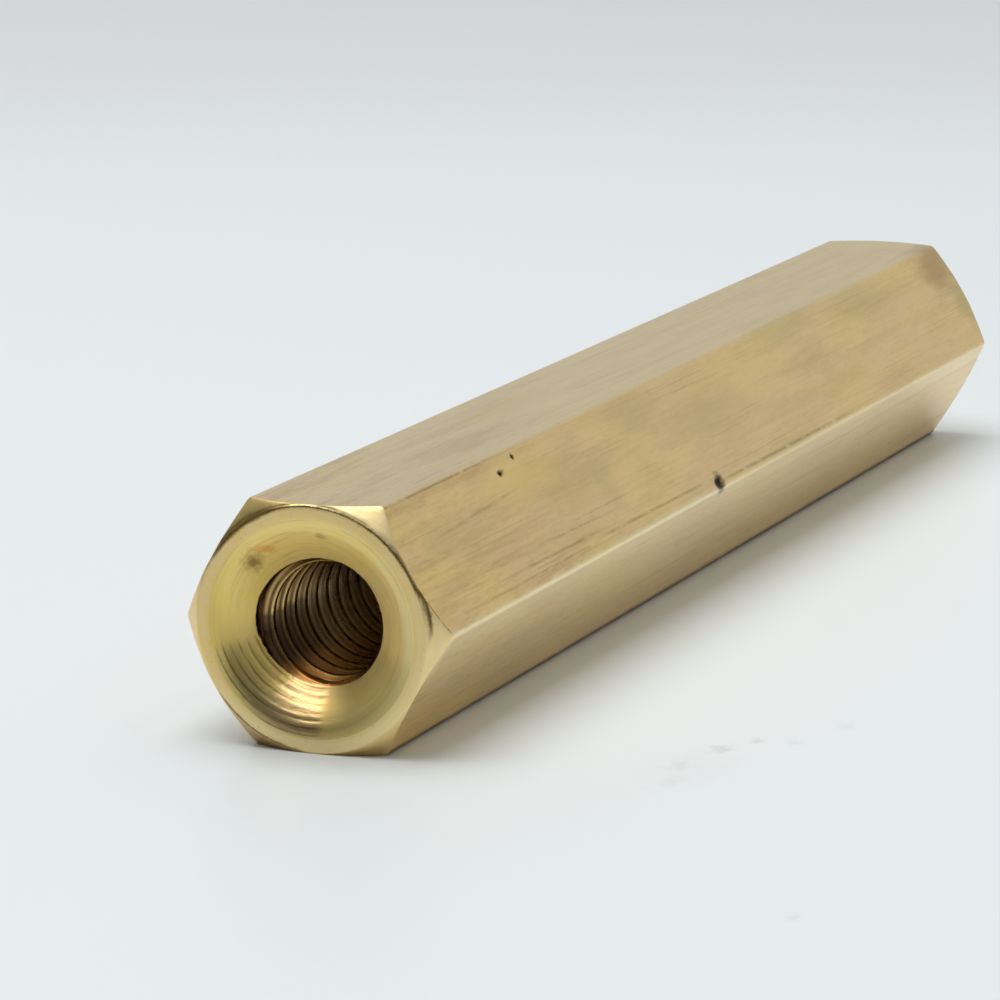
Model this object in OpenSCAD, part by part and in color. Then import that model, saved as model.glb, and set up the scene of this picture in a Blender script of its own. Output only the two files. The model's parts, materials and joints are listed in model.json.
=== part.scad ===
// Hex standoff, female to female. One length of drawn hexagonal brass bar is faced, chamfered,
// countersunk, drilled and tapped at both ends. It lies on one flat, with its axis along X, and
// the origin is on that flat, under the middle of the bar. All sizes are in millimetres.

/* [Bar] */
// Width of the hexagonal bar across its flats
across_flats = 7; // [5.5:0.5:12]
// Length from end face to end face
length = 50; // [36:1:120]
// Radius that drawing leaves along the six edges of the bar
edge_radius = 0.2; // [0.05:0.05:0.6]

/* [End faces] */
// How far the rim of each turned end face lies inside the flats
face_inset = 0.025; // [0.01:0.005:0.3]
// Angle between each corner chamfer and the end face
chamfer_angle = 45; // [30:5:60]
// Width of the flat ring left between the countersink and the rim of the end face
face_ring = 0.53; // [0.2:0.01:0.8]

/* [Tapped holes] */
// Nominal diameter of the thread
thread_diameter = 4; // [3:0.5:5]
// Pitch of the thread
thread_pitch = 0.7; // [0.5:0.05:0.8]
// Depth of full thread below the end face
thread_depth = 10; // [6:0.5:12]
// Length drilled past the last full thread, for the lead of the tap
tap_runout = 2.5; // [1.5:0.1:3.5]
// Included angle of the countersink at the mouth of each hole
countersink_angle = 100; // [90:5:120]
// Included angle that the point of the drill leaves at the bottom of each hole
drill_point_angle = 118; // [110:1:140]

/* [Hidden] */
$fn = 96;
BRASS = [0.76, 0.63, 0.36];

apothem = across_flats / 2;
corner_radius = apothem / cos(30);
// Radius at which the centres of the edge rounds lie
edge_centre_radius = (apothem - edge_radius) / cos(30);
// Number of facets in the round of one edge
edge_steps = 6;

face_radius = apothem - face_inset;
mouth_radius = face_radius - face_ring;
tap_drill_radius = (thread_diameter - thread_pitch) / 2;
drill_depth = thread_depth + tap_runout;
point_height = tap_drill_radius / tan(drill_point_angle / 2);

// Tools start outside the metal by this much, so that they leave no skin on an end face.
clear_start = 1;

// Section of the drawn bar: six flats, each running into an arc along every edge
function bar_outline() = [
    for (edge = [0 : 5], step = [0 : edge_steps])
        let (middle = 60 * edge, turn = middle - 30 + 60 * step / edge_steps)
        edge_centre_radius * [cos(middle), sin(middle)] + edge_radius * [cos(turn), sin(turn)]
];

// The drawn bar, cut to length and standing on end with an edge towards +X
module bar() {
    linear_extrude(length)
        polygon(bar_outline());
}

// Everything that facing and chamfering leave: a cylinder past the corners, coned at both ends
module turned_envelope() {
    outside = corner_radius + clear_start;
    chamfer_height = (outside - face_radius) * tan(chamfer_angle);
    rotate_extrude()
        polygon([
            [0, 0],
            [face_radius, 0],
            [outside, chamfer_height],
            [outside, length - chamfer_height],
            [face_radius, length],
            [0, length],
        ]);
}

// Path of the tools in one end, entering at z = 0 and going up: countersink, tap drill, drill point
module tapped_hole() {
    countersink_slope = tan(countersink_angle / 2);
    countersink_depth = (mouth_radius - tap_drill_radius) / countersink_slope;
    rotate_extrude()
        polygon([
            [0, -clear_start],
            [mouth_radius + clear_start * countersink_slope, -clear_start],
            [tap_drill_radius, countersink_depth],
            [tap_drill_radius, drill_depth],
            [0, drill_depth + point_height],
        ]);
}

// The finished standoff, laid down on the flat that faces -Z
module standoff() {
    color(BRASS)
        translate([-length / 2, 0, apothem])
            rotate([0, 90, 0])
                rotate(30)
                    difference() {
                        intersection() {
                            bar();
                            turned_envelope();
                        }
                        tapped_hole();
                        translate([0, 0, length])
                            mirror([0, 0, 1])
                                tapped_hole();
                    }
}

standoff();
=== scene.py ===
"""Looks of a brass hex standoff that lies on one flat, with a tapped hole at each end.

The skin of the bar is woven ring by ring around its axis: drill point, tapped bore, countersink,
turned end face, corner chamfer, drawn flats, and the same again at the other end. Every length
is in millimetres until the mesh is made. Angles are taken around the axis, from +Y towards +Z.
"""

from __future__ import annotations

import json
import logging
import math
from dataclasses import dataclass, replace
from enum import Enum
from typing import Mapping, Sequence, Union

import bmesh
import bpy
import numpy as np
from mathutils import Matrix, Vector

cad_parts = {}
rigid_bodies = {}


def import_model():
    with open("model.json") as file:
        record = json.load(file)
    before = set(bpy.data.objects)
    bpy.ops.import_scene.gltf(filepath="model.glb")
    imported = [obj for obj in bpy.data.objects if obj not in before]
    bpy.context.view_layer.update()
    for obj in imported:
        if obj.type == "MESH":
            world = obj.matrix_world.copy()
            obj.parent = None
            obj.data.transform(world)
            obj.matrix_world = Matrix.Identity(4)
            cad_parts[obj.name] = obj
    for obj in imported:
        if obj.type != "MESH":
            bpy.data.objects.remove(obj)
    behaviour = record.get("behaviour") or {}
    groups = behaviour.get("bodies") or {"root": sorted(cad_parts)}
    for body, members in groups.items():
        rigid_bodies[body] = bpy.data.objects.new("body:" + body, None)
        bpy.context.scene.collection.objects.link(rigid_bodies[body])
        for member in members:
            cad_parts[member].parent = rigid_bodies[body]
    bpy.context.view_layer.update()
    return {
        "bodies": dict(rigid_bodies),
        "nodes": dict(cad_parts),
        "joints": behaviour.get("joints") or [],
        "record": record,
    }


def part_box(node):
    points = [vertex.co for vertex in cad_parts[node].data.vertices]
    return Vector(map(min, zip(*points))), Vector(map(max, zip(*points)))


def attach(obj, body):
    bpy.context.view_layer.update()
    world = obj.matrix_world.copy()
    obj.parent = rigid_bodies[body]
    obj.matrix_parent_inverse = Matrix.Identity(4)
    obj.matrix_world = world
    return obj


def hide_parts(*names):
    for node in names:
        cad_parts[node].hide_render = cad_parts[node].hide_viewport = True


LOG = logging.getLogger("hex_standoff")
MILLIMETRE = 0.001
FULL_TURN = 2.0 * math.pi
# Where the first thread starts and lifts the edge of the hole into a lip, in degrees.
LIP_AT = 182.0
Triple = tuple[float, float, float]


class End(Enum):
    """The two ends of the bar. The value is the sign of the end's X."""

    NEAR = -1
    FAR = 1


class Surface(Enum):
    """The differently finished surfaces of the bar. The value is the material's place on the mesh."""

    FLATS = 0
    CHAMFER = 1
    FACE = 2
    COUNTERSINK = 3
    THREAD = 4


def smooth_step(value: np.ndarray, low: float, high: float) -> np.ndarray:
    """Rise smoothly from 0 at low to 1 at high.

    Args:
        value: Numbers to place between the two limits.
        low: Where the rise begins.
        high: Where the rise ends. It may lie below low.

    Returns:
        The risen values, from 0 to 1.
    """
    share = np.clip((np.asarray(value, float) - low) / (high - low), 0.0, 1.0)
    return share * share * (3.0 - 2.0 * share)


def angle_between(angle: np.ndarray, centre: float) -> np.ndarray:
    """Return the signed angles in radians from a centre given in degrees, the short way round."""
    return (np.asarray(angle) - math.radians(centre) + math.pi) % FULL_TURN - math.pi


@dataclass(frozen=True)
class Swell:
    """A bell curve around the axis.

    Attributes:
        height: How high it is at its middle.
        centre: Where its middle is, in degrees.
        width: Its half width, in degrees.
    """

    height: float
    centre: float
    width: float

    def heights(self, angle: np.ndarray) -> np.ndarray:
        """Return its heights at angles in radians."""
        off = angle_between(angle, self.centre) / math.radians(self.width)
        return self.height * np.exp(-(off**2))


@dataclass(frozen=True)
class Ripple:
    """A repeatable uneven line around a circle, made from a few sine waves.

    Attributes:
        seed: Which line this is.
        waves: How many sine waves are summed.
        slowest: Waves around the circle of the slowest one.
        fastest: Waves around the circle of the fastest one.
        strength: The root mean square of the heights.
    """

    seed: int
    waves: int = 14
    slowest: int = 3
    fastest: int = 70
    strength: float = 0.6

    def heights(self, angle: np.ndarray) -> np.ndarray:
        """Work out the line.

        Args:
            angle: Angles around the axis, in radians.

        Returns:
            The heights of the line, mostly between -1 and 1.
        """
        chance = np.random.default_rng(self.seed)
        counts = chance.integers(self.slowest, self.fastest, self.waves)
        starts = chance.uniform(0.0, FULL_TURN, self.waves)
        line = sum(
            np.sin(count * np.asarray(angle) + start) / math.sqrt(count)
            for count, start in zip(counts, starts)
        )
        return line / np.sqrt(np.sum(0.5 / counts)) * self.strength


class Skin:
    """A closed mesh, grown ring by ring around the X axis."""

    def __init__(self, axis_height: float) -> None:
        """Start with no points.

        Args:
            axis_height: Height of the axis of the bar above the table, in millimetres.
        """
        self.axis_height = axis_height
        self.points: list[np.ndarray] = []
        self.faces: list[tuple[int, ...]] = []
        self.surfaces: list[int] = []
        self.count = 0

    def ring(self, along: np.ndarray, radius: np.ndarray, angles: np.ndarray) -> np.ndarray:
        """Add one ring of points.

        Args:
            along: Place of each point along X, or one place for all.
            radius: Distance of each point from the axis, or one distance for all.
            angles: Angle of each point around the axis.

        Returns:
            The numbers of the new points.
        """
        along = np.broadcast_to(along, angles.shape)
        radius = np.broadcast_to(radius, angles.shape)
        across = radius * np.cos(angles)
        up = self.axis_height + radius * np.sin(angles)
        self.points.append(np.stack([along, across, up], axis=-1))
        numbers = np.arange(self.count, self.count + len(angles))
        self.count += len(angles)
        return numbers

    def face(self, corners: Sequence[int], surface: Surface) -> None:
        """Add one face, unless dropping repeated corners leaves less than a triangle.

        Args:
            corners: The numbers of its points.
            surface: The surface that it belongs to.
        """
        kept = [int(c) for i, c in enumerate(corners) if c != corners[i - 1]]
        if len(set(kept)) == len(kept) and len(kept) >= 3:
            self.faces.append(tuple(kept))
            self.surfaces.append(surface.value)

    def bridge(self, first: np.ndarray, second: np.ndarray, surface: Surface) -> None:
        """Join two rings of equally many points with a band of faces.

        Args:
            first: One ring.
            second: The other ring.
            surface: The surface that the band belongs to.
        """
        size = len(first)
        for i in range(size):
            j = (i + 1) % size
            self.face((first[i], first[j], second[j], second[i]), surface)

    def zip_up(
        self,
        first: np.ndarray,
        first_angles: np.ndarray,
        second: np.ndarray,
        second_angles: np.ndarray,
        surface: Surface,
    ) -> None:
        """Join two rings whose points lie at different angles with a band of triangles.

        Args:
            first: One ring.
            first_angles: The angles of its points, growing.
            second: The other ring.
            second_angles: The angles of its points, growing.
            surface: The surface that the band belongs to.
        """
        i = j = 0
        while i < len(first) or j < len(second):
            next_first = first_angles[i + 1] if i + 1 < len(first) else FULL_TURN
            next_second = second_angles[j + 1] if j + 1 < len(second) else FULL_TURN
            a, b = first[i % len(first)], second[j % len(second)]
            if j >= len(second) or (i < len(first) and next_first <= next_second):
                self.face((a, first[(i + 1) % len(first)], b), surface)
                i += 1
            else:
                self.face((a, second[(j + 1) % len(second)], b), surface)
                j += 1

    def cap(self, ring: np.ndarray, along: float, surface: Surface) -> None:
        """Close a ring to a point on the axis.

        Args:
            ring: The ring.
            along: Place of the point along X.
            surface: The surface that the faces belong to.
        """
        tip = self.ring(along, 0.0, np.zeros(1))[0]
        for i in range(len(ring)):
            self.face((ring[i], ring[(i + 1) % len(ring)], tip), surface)

    def object(self, name: str, materials: Sequence[bpy.types.Material]) -> bpy.types.Object:
        """Turn the skin into a Blender object in metres, shaded smooth, with its normals outwards.

        Args:
            name: Name of the object.
            materials: One material for each surface, in the order of Surface.

        Returns:
            The linked object.
        """
        mesh = bpy.data.meshes.new(name)
        places = np.concatenate(self.points) * MILLIMETRE
        mesh.from_pydata(places.tolist(), [], self.faces)
        for material in materials:
            mesh.materials.append(material)
        mesh.polygons.foreach_set("material_index", self.surfaces)
        mesh.polygons.foreach_set("use_smooth", [True] * len(self.faces))
        turned = bmesh.new()
        turned.from_mesh(mesh)
        bmesh.ops.recalc_face_normals(turned, faces=turned.faces)
        turned.to_mesh(mesh)
        turned.free()
        made = bpy.data.objects.new(name, mesh)
        bpy.context.scene.collection.objects.link(made)
        return made


@dataclass(frozen=True)
class HexBar:
    """The drawn bar: a hexagon with a small round along each edge.

    Attributes:
        across_flats: Width of the hexagon across its flats.
        length: Length from end face to end face.
        edge_radius: Radius of the round along each edge.
        step: Angle in degrees between neighbouring columns of points on the flats.
        first_step: The same for the column next to an edge round.
    """

    across_flats: float
    length: float
    edge_radius: float = 0.2
    step: float = 1.25
    first_step: float = 0.8

    @property
    def apothem(self) -> float:
        """Distance from the axis to a flat."""
        return self.across_flats / 2.0

    @property
    def edge_centre(self) -> float:
        """Distance from the axis to the centre of an edge round."""
        return (self.apothem - self.edge_radius) / math.cos(math.radians(30))

    @property
    def edge_half_angle(self) -> float:
        """Angle around the axis, in radians, from an edge to where its round meets the flat."""
        reach = self.edge_centre + self.edge_radius * math.cos(math.radians(30))
        return math.atan2(self.edge_radius * math.sin(math.radians(30)), reach)

    def angles(self) -> np.ndarray:
        """Spread columns of points round the bar, close together at the edges.

        Returns:
            Their angles around the axis, in radians.
        """
        rounded = math.degrees(self.edge_half_angle)
        first = rounded + self.first_step
        on_flat = np.linspace(first, 30.0, 1 + round((30.0 - first) / self.step))
        half = np.concatenate([rounded * np.array([1 / 3, 2 / 3, 1.0]), on_flat])
        sector = np.concatenate([[0.0], half, 60.0 - half[-2::-1]])
        turns = np.concatenate([sector + 60.0 * edge for edge in range(6)])
        return np.radians(turns)

    def radius(self, angles: np.ndarray) -> np.ndarray:
        """Work out the outline of the bar.

        Args:
            angles: Angles around the axis, in radians.

        Returns:
            The distance from the axis to the outline at each of them.
        """
        off_edge = np.abs((angles + math.pi / 6) % (math.pi / 3) - math.pi / 6)
        on_flat = self.apothem / np.cos(math.pi / 6 - off_edge)
        sine = self.edge_centre * np.sin(off_edge)
        under_root = np.maximum(self.edge_radius**2 - sine**2, 0.0)
        on_round = self.edge_centre * np.cos(off_edge) + np.sqrt(under_root)
        return np.where(off_edge < self.edge_half_angle, on_round, on_flat)


@dataclass(frozen=True)
class Thread:
    """An internal metric thread, cut into a drilled hole.

    Attributes:
        drill_radius: Radius of the hole before tapping.
        pitch: Distance from one crest to the next.
        major_radius: Radius at the roots of the thread.
        full_depth: Depth of full thread below the end face.
        fade: Length over which the thread runs out below that.
        start: Where on the axis a crest passes angle 0, as a share of the pitch.
        profile: Pairs of a share of the pitch and a share of the thread's depth.
    """

    drill_radius: float
    pitch: float = 0.7
    major_radius: float = 2.02
    full_depth: float = 10.0
    fade: float = 1.5
    start: float = 0.51
    profile: tuple[tuple[float, float], ...] = (
        (0.00, 0.10),
        (0.05, 0.00),
        (0.20, 0.00),
        (0.25, 0.10),
        (0.41, 0.55),
        (0.56, 1.00),
        (0.69, 1.00),
        (0.85, 0.55),
    )

    @property
    def end(self) -> float:
        """Depth below the end face where the last trace of thread ends."""
        return self.full_depth + self.fade

    def depth(self, share: float, below: np.ndarray) -> np.ndarray:
        """Return how deep the thread is cut for a share of its depth, fading at its end."""
        full = (self.major_radius - self.drill_radius) * share
        return full * (1.0 - smooth_step(below, self.full_depth, self.end))


@dataclass(frozen=True)
class Chatter:
    """The arcs that a chattering countersink left, on one side of its cone.

    Attributes:
        spacing: Distance between two grooves along the radius.
        drift: How many grooves the pattern drifts outwards in one turn.
        centre: Angle of the middle of the arcs, in degrees.
        reach: Half the angle that they cover, in degrees.
        depth: Depth of the grooves.
        fade: How many degrees their ends take.
        straggle: How many degrees further some of them begin than others.
    """

    spacing: float = 0.19
    drift: float = -5.0
    centre: float = 306.0
    reach: float = 39.0
    depth: float = 0.004
    fade: float = 4.0
    straggle: float = 3.0

    def window(self, angles: np.ndarray, waves: np.ndarray) -> np.ndarray:
        """Limit the arcs to their side of the cone, though they don't all begin at one angle.

        Args:
            angles: Angles around the axis, in radians.
            waves: Which groove each of them lies in, counted along the radius.

        Returns:
            The strength of the arcs, from 0 to 1.
        """
        off = np.degrees(angle_between(angles, self.centre)) + self.straggle * np.sin(2.3 * waves)
        first = smooth_step(off, self.reach + self.straggle, self.reach - self.fade)
        last = smooth_step(off, -self.reach, self.fade - self.reach)
        return first * last

    def height(self, radius: np.ndarray, angles: np.ndarray) -> np.ndarray:
        """Work out how deep the arcs are cut.

        Args:
            radius: Distance from the axis.
            angles: Angles around the axis, in radians.

        Returns:
            How far the cone is cut below its mean surface, or less than 0 at a crest.
        """
        waves = radius / self.spacing + self.drift * angle_between(angles, self.centre) / FULL_TURN
        uneven = 0.7 + 0.5 * np.sin(1.7 * waves + 2.0) + 0.3 * np.sin(4.1 * waves)
        return self.depth * uneven * self.window(angles, waves) * np.sin(waves * FULL_TURN)


@dataclass
class TappedEnd:
    """One turned, countersunk and tapped end of the bar.

    Attributes:
        end: Which end this is.
        bar: The bar that the end is turned on.
        thread: The thread in its hole.
        face_inset: How far the rim of the end face lies inside the flats.
        face_ring: Width of the flat ring between the rim and the countersink.
        countersink_angle: Included angle of the countersink, in degrees.
        foot_radius: Radius where the countersink ends and the hole begins.
        foot_wider: How much wider the foot is where it breaks into the thread.
        bow: How much the countersink flattens at its mouth, as a share of its slope.
        bow_swing: How much more it flattens on the side of the lip.
        bend: Share of the countersink's width that it takes to reach its full slope.
        lip: How much higher the foot stands where the first thread starts.
        lip_width: How far the lip reaches from the foot.
        lip_ragged: How ragged the edge of the hole is all round.
        lip_torn: How much more ragged it is across from the lip.
        torn_depth: How far down the thread the ragged edge reaches.
        flare: How fast the thread may widen below the foot.
        groove_lean: How far below and how far out a groove of chatter goes for its depth.
        mouth_round: Half the width of the round between the countersink and the face.
        mouth_rings: Where the rings of the round lie, from -1 inside to 1 outside.
        drill_depth: Depth of the drilled cylinder.
        drill_point_angle: Included angle of the bottom of the hole, in degrees.
        face_rings: How far outside the round the inner rings of the face lie.
        rim_rings: Depth of each ring at the rim, and how far inside the rim it lies.
        rim_inset: How far the rim is worn back all round.
        rim_ragged: How much further it is worn back where it is most ragged.
        wear_all_round: How ragged the rim is everywhere, from 0 to 1.
        worn: Where the rim is more ragged, and by how much.
        burr_gap: Depth of the ragged gap that the chamfering tool left round the rim.
        gap_at: How far outside the rim the bottom of the gap is.
        gap_width: Half the width of the gap.
        gap_room: Width of the band outside the rim that holds the gap.
        crease: Width of the worn crease where the chamfer meets the flats.
        crease_drop: How far the crease lies below the chamfer.
        columns: How many columns of points go round the hole.
        countersink_rows: How many rings of points make the countersink.
        chatter: The arcs in the countersink.
        ripple: The uneven line that makes burrs ragged.
    """

    end: End
    bar: HexBar
    thread: Thread
    face_inset: float = 0.025
    face_ring: float = 0.53
    countersink_angle: float = 100.0
    foot_radius: float = 1.8
    foot_wider: Swell = Swell(0.2, LIP_AT - 180.0, 55.0)
    bow: float = 0.46
    bow_swing: Swell = Swell(0.2, LIP_AT, 60.0)
    bend: float = 0.8
    lip: Swell = Swell(0.1, LIP_AT, 48.0)
    lip_width: float = 0.22
    lip_ragged: float = 0.006
    lip_torn: Swell = Swell(0.02, LIP_AT - 200.0, 26.0)
    torn_depth: float = 0.5
    flare: float = 0.4
    groove_lean: tuple[float, float] = (0.77, 0.64)
    mouth_round: float = 0.26
    mouth_rings: tuple[float, ...] = (-0.6, -0.2, 0.2, 0.6)
    drill_depth: float = 12.5
    drill_point_angle: float = 118.0
    face_rings: Triple = (0.0, 0.03, 0.11)
    rim_rings: tuple[tuple[float, float], ...] = ((0.0, 0.03), (0.002, 0.015), (0.008, 0.0))
    rim_inset: float = 0.02
    rim_ragged: float = 0.028
    wear_all_round: float = 0.12
    worn: tuple[Swell, ...] = (
        Swell(0.35, 100.0, 45.0),
        Swell(1.0, 46.0, 17.0),
        Swell(0.45, 152.0, 24.0),
    )
    burr_gap: float = 0.05
    gap_at: float = 0.045
    gap_width: float = 0.03
    gap_room: float = 0.11
    crease: float = 0.035
    crease_drop: float = 0.004
    columns: int = 144
    countersink_rows: int = 38
    chatter: Chatter = Chatter()
    ripple: Ripple = Ripple(7)

    @property
    def slope(self) -> float:
        """Radius that the countersink gains for each millimetre towards the end face."""
        return math.tan(math.radians(self.countersink_angle / 2))

    @property
    def face_radius(self) -> float:
        """Radius of the rim of the end face."""
        return self.bar.apothem - self.face_inset

    @property
    def mouth_radius(self) -> float:
        """Radius of the countersink in the end face."""
        return self.face_radius - self.face_ring

    def place(
        self, skin: Skin, below: np.ndarray, radius: np.ndarray, angles: np.ndarray
    ) -> np.ndarray:
        """Add a ring at a depth below this end face.

        The far end is the near end turned half round about the upright axis, which keeps its
        thread right-handed.

        Args:
            skin: The skin to add the ring to.
            below: Depth of each point below the end face.
            radius: Distance of each point from the axis.
            angles: Angle of each point around the axis, as seen on the near end.

        Returns:
            The numbers of the new points.
        """
        along = self.end.value * (self.bar.length / 2.0 - np.asarray(below))
        turned = angles if self.end is End.NEAR else math.pi - angles
        return skin.ring(along, radius, turned)

    def grow(
        self,
        skin: Skin,
        ring: np.ndarray,
        below: np.ndarray,
        radius: np.ndarray,
        angles: np.ndarray,
        surface: Surface,
    ) -> np.ndarray:
        """Add a ring and join the last one to it.

        Args:
            skin: The skin to add to.
            ring: The last ring, which has the same angles.
            below: Depth of each point below the end face.
            radius: Distance of each point from the axis.
            angles: Angle of each point around the axis, as seen on the near end.
            surface: The surface that the band between the rings belongs to.

        Returns:
            The numbers of the new points.
        """
        next_ring = self.place(skin, below, radius, angles)
        skin.bridge(ring, next_ring, surface)
        return next_ring

    def hole_angles(self) -> np.ndarray:
        """Return the angles of the columns of points around the hole."""
        return np.arange(self.columns) * FULL_TURN / self.columns

    def foot(self, angles: np.ndarray) -> np.ndarray:
        """Return the radius of the foot of the countersink, which breaks into the thread."""
        return self.foot_radius + self.foot_wider.heights(angles)

    def mouth_slope(self, angles: np.ndarray) -> np.ndarray:
        """Return how steep the countersink is at its mouth, as a share of its mean slope."""
        return 1.0 - self.bow - self.bow_swing.heights(angles)

    def below_face(self, radius: np.ndarray, angles: np.ndarray) -> np.ndarray:
        """Return the depth of the countersink, a bowed cone with a lip on one side.

        Args:
            radius: Distance from the axis.
            angles: Angle around the axis.

        Returns:
            The depth below the end face.
        """
        width = self.mouth_radius - self.foot_radius
        share = (self.mouth_radius - radius) / width
        mouth = self.mouth_slope(angles)
        foot = (1.0 - mouth * self.bend / 2.0) / (1.0 - self.bend / 2.0)
        bent = np.minimum(share, self.bend)
        eased = bent - bent * bent / (2.0 * self.bend)
        cone = (foot * share - (foot - mouth) * eased) * width / self.slope
        lip = np.clip((self.foot_radius + self.lip_width - radius) / self.lip_width, 0.0, 1.0)
        return cone - lip * self.lip.heights(angles)

    def lip_burr(self, angles: np.ndarray) -> np.ndarray:
        """Return how far the edge of the hole strays, most of all across from the lip."""
        ragged = self.lip_ragged + self.lip_torn.heights(angles)
        return self.ripple.heights(2.0 * angles) * ragged

    def weave_hole(self, skin: Skin) -> np.ndarray:
        """Weave the bottom of the hole and its thread, up to the foot of the countersink.

        Args:
            skin: The skin to add to.

        Returns:
            The ring of points where the countersink begins.
        """
        angles = self.hole_angles()
        drill = self.thread.drill_radius
        foot = self.below_face(self.foot(angles), angles)
        top = self.place(skin, foot, self.foot(angles) + self.lip_burr(angles), angles)
        bottom = self.place(skin, self.thread.end, drill, angles)
        rows = self.thread_rows(skin, top, bottom, foot)
        self.bridge_thread(skin, rows)

        ring = self.grow(skin, bottom, self.drill_depth, drill, angles, Surface.THREAD)
        point_depth = drill / math.tan(math.radians(self.drill_point_angle / 2))
        for share in (0.35, 0.7):
            below = self.drill_depth + share * point_depth
            ring = self.grow(skin, ring, below, drill * (1.0 - share), angles, Surface.THREAD)
        tip_below = self.drill_depth + point_depth
        skin.cap(ring, self.end.value * (self.bar.length / 2.0 - tip_below), Surface.THREAD)
        return top

    def thread_rows(
        self, skin: Skin, top: np.ndarray, bottom: np.ndarray, foot: np.ndarray
    ) -> np.ndarray:
        """Lay rows of points along the thread's helix.

        A row climbs one pitch in a turn, so its end meets the row one turn further down. Where
        a row would leave the threaded length it takes the points of the top or bottom ring.

        Args:
            skin: The skin to add to.
            top: The ring that ends the thread at the mouth.
            bottom: The ring that ends the thread in the hole.
            foot: Depth of the top ring at each angle.

        Returns:
            The numbers of the points, one row for each line of the thread's profile.
        """
        angles = self.hole_angles()
        thread = self.thread
        clear = 1e-3
        turns = math.ceil((thread.end - foot.min()) / thread.pitch) + 2
        burr = self.lip_burr(angles)
        rows = []
        for turn in range(turns):
            for phase, share in thread.profile:
                turned = turn + phase + angles / FULL_TURN - 2.0 + thread.start
                below = foot.min() + thread.pitch * turned
                past_foot = below - foot
                fresh = smooth_step(past_foot, self.torn_depth, 0.0)
                cut = thread.drill_radius + thread.depth(share, below) + burr * fresh
                cut = np.minimum(cut, self.foot(angles) + self.flare * np.maximum(past_foot, 0.0))
                radius = np.maximum(cut, self.foot(angles) - past_foot * self.slope)
                inside = (below > foot + clear) & (below < thread.end - clear)
                numbers = np.where(below <= foot + clear, top, bottom)
                numbers[inside] = self.place(skin, below[inside], radius[inside], angles[inside])
                rows.append(numbers)
        rows.append(bottom)
        return np.array(rows)

    def bridge_thread(self, skin: Skin, rows: np.ndarray) -> None:
        """Join the rows of the thread, with the last column joined one turn further down.

        Args:
            skin: The skin to add to.
            rows: The numbers of the points of each row.
        """
        per_turn = len(self.thread.profile)
        last = len(rows) - 1
        for row in range(last):
            for column in range(self.columns):
                if column + 1 < self.columns:
                    right, low_right = rows[row][column + 1], rows[row + 1][column + 1]
                else:
                    right = rows[min(row + per_turn, last)][0]
                    low_right = rows[min(row + 1 + per_turn, last)][0]
                corners = (rows[row][column], right, low_right, rows[row + 1][column])
                skin.face(corners, Surface.THREAD)

    def weave_countersink(self, skin: Skin, foot: np.ndarray) -> np.ndarray:
        """Weave the countersink, with its lip, its arcs of chatter and its soft mouth.

        Args:
            skin: The skin to add to.
            foot: The ring of points at the foot of the countersink.

        Returns:
            The ring of points at its mouth, in the end face.
        """
        angles = self.hole_angles()
        foot_radius = self.foot(angles)
        top_radius = self.mouth_radius - self.mouth_round
        down, out = self.groove_lean
        ring = foot
        for share in np.linspace(0.0, 1.0, self.countersink_rows)[1:]:
            radius = foot_radius + share * (top_radius - foot_radius)
            groove = self.chatter.height(radius, angles)
            below = self.below_face(radius, angles) + down * groove
            ring = self.grow(skin, ring, below, radius + out * groove, angles, Surface.COUNTERSINK)
        for turn in self.mouth_rings:
            radius = self.mouth_radius + turn * self.mouth_round
            rounded = self.mouth_round * (1.0 - turn) ** 2 / (4.0 * self.slope)
            below = self.mouth_slope(angles) * rounded
            ring = self.grow(skin, ring, below, radius, angles, Surface.COUNTERSINK)
        return ring

    def weave_face(self, skin: Skin, mouth: np.ndarray) -> np.ndarray:
        """Weave the flat ring of the end face, out to its ragged rim.

        Args:
            skin: The skin to add to.
            mouth: The ring of points round the countersink.

        Returns:
            The ring of points at the rim.
        """
        inner = self.hole_angles()
        outer = self.bar.angles()
        first, second, third = (self.mouth_radius + self.mouth_round + r for r in self.face_rings)
        ring = self.grow(skin, mouth, 0.0, first, inner, Surface.FACE)
        inside = self.grow(skin, ring, 0.0, second, inner, Surface.FACE)
        ring = self.place(skin, 0.0, third, outer)
        skin.zip_up(inside, inner, ring, outer, Surface.FACE)
        for below, inset in self.rim_rings:
            ring = self.grow(skin, ring, below, self.rim(outer) - inset, outer, Surface.FACE)
        return ring

    def wear(self, angles: np.ndarray) -> np.ndarray:
        """Return how ragged the rim is, from 0 to 1, at some angles around the axis."""
        more = sum(swell.heights(angles) for swell in self.worn)
        return np.clip(self.wear_all_round + more, 0.0, 1.0)

    def rim(self, angles: np.ndarray) -> np.ndarray:
        """Return the radius of the ragged rim of the end face."""
        uneven = 0.4 + 0.6 * self.ripple.heights(angles)
        return self.face_radius - self.rim_inset - self.rim_ragged * self.wear(angles) * uneven

    def gap(self, step: np.ndarray) -> np.ndarray:
        """Return how deep the gap is at a distance outside the rim, as a share of its depth."""
        return np.exp(-(((step - self.gap_at) / self.gap_width) ** 2))

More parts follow.
